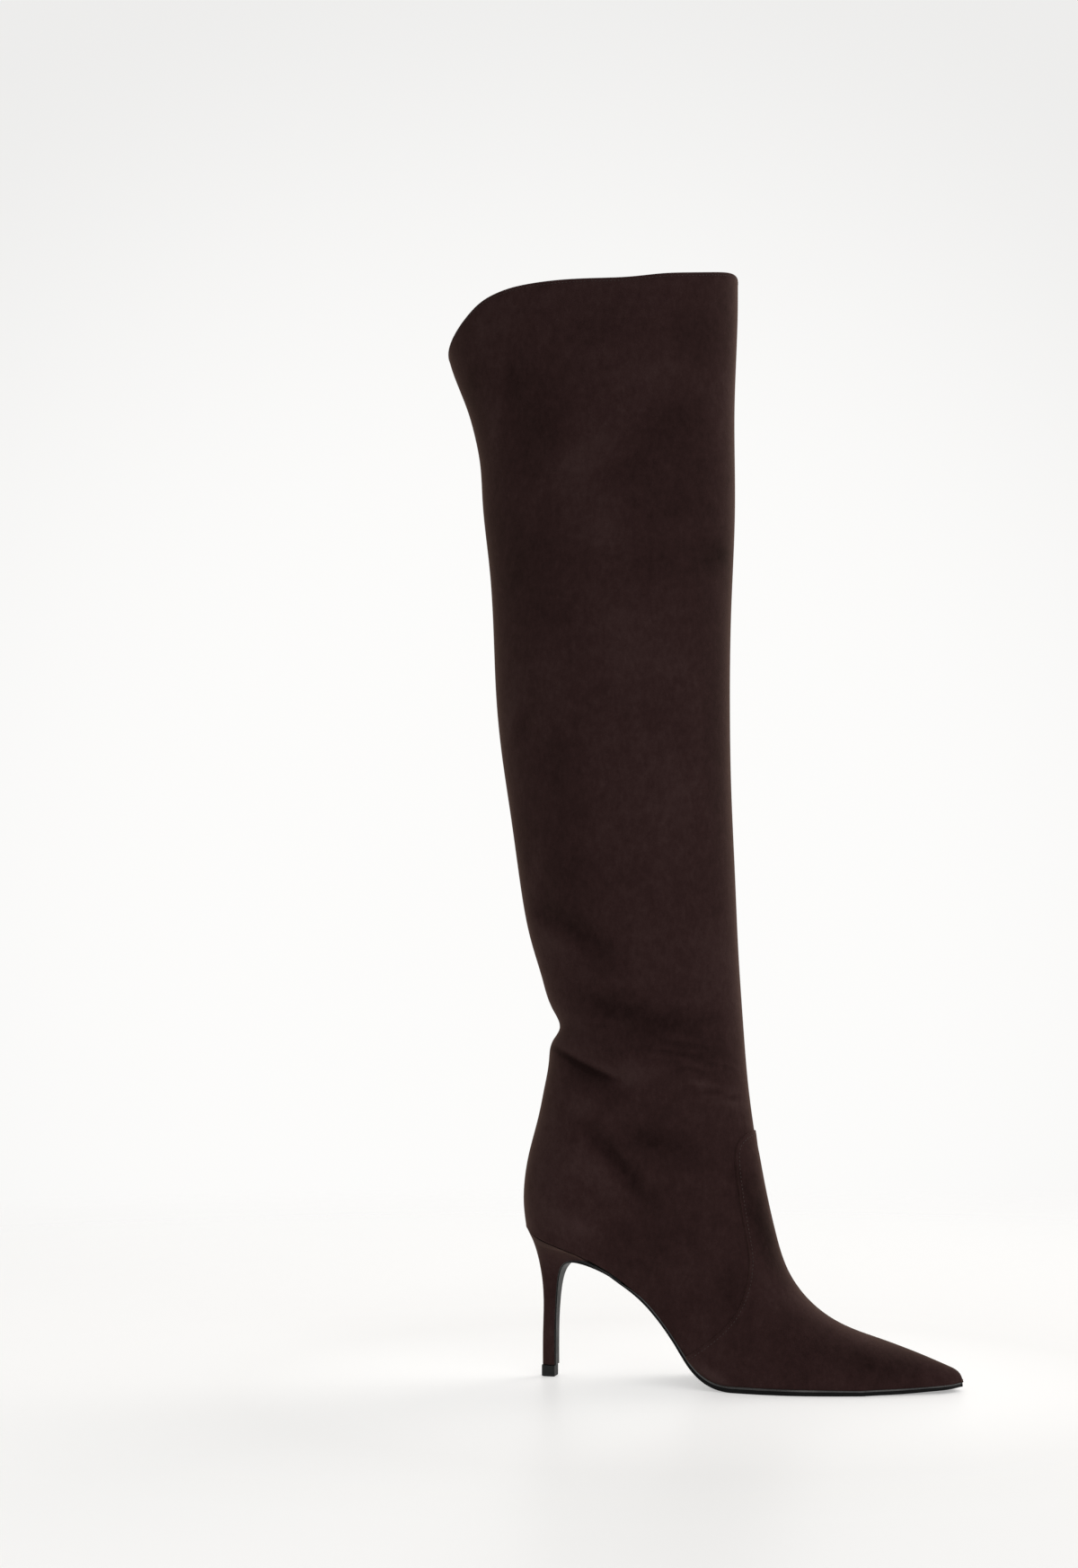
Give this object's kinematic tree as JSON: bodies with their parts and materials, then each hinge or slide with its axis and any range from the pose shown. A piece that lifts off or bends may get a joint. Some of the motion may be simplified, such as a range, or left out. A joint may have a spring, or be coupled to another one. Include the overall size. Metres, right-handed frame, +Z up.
{
  "type": "over-the-knee boot",
  "caption": "Tall pull-on suede boot with a pointed toe, a stepped vamp, a covered stiletto heel and a thin sole that runs down the heel's front.",
  "frame": {"origin": "centre of the bounding box, at the floor that the boot stands on", "axes": "+X towards the toe, +Y towards the boot's inner (medial) side, +Z up"},
  "size_m": [0.2944, 0.0998, 0.641],
  "materials": {
    "upper": "suede, matt, very dark brown",
    "vamp": "suede, matt, very dark brown",
    "insole": "smooth lining leather over board",
    "outsole": "black leather with a glossy edge",
    "heel": "suede cover over a moulded heel",
    "heel_tip": "hard black polymer, satin"
  },
  "bodies": {
    "root": {"upper": "upper", "vamp": "vamp", "insole": "insole", "outsole": "outsole", "heel": "heel", "heel_tip": "heel_tip"}
  },
  "joints": []
}
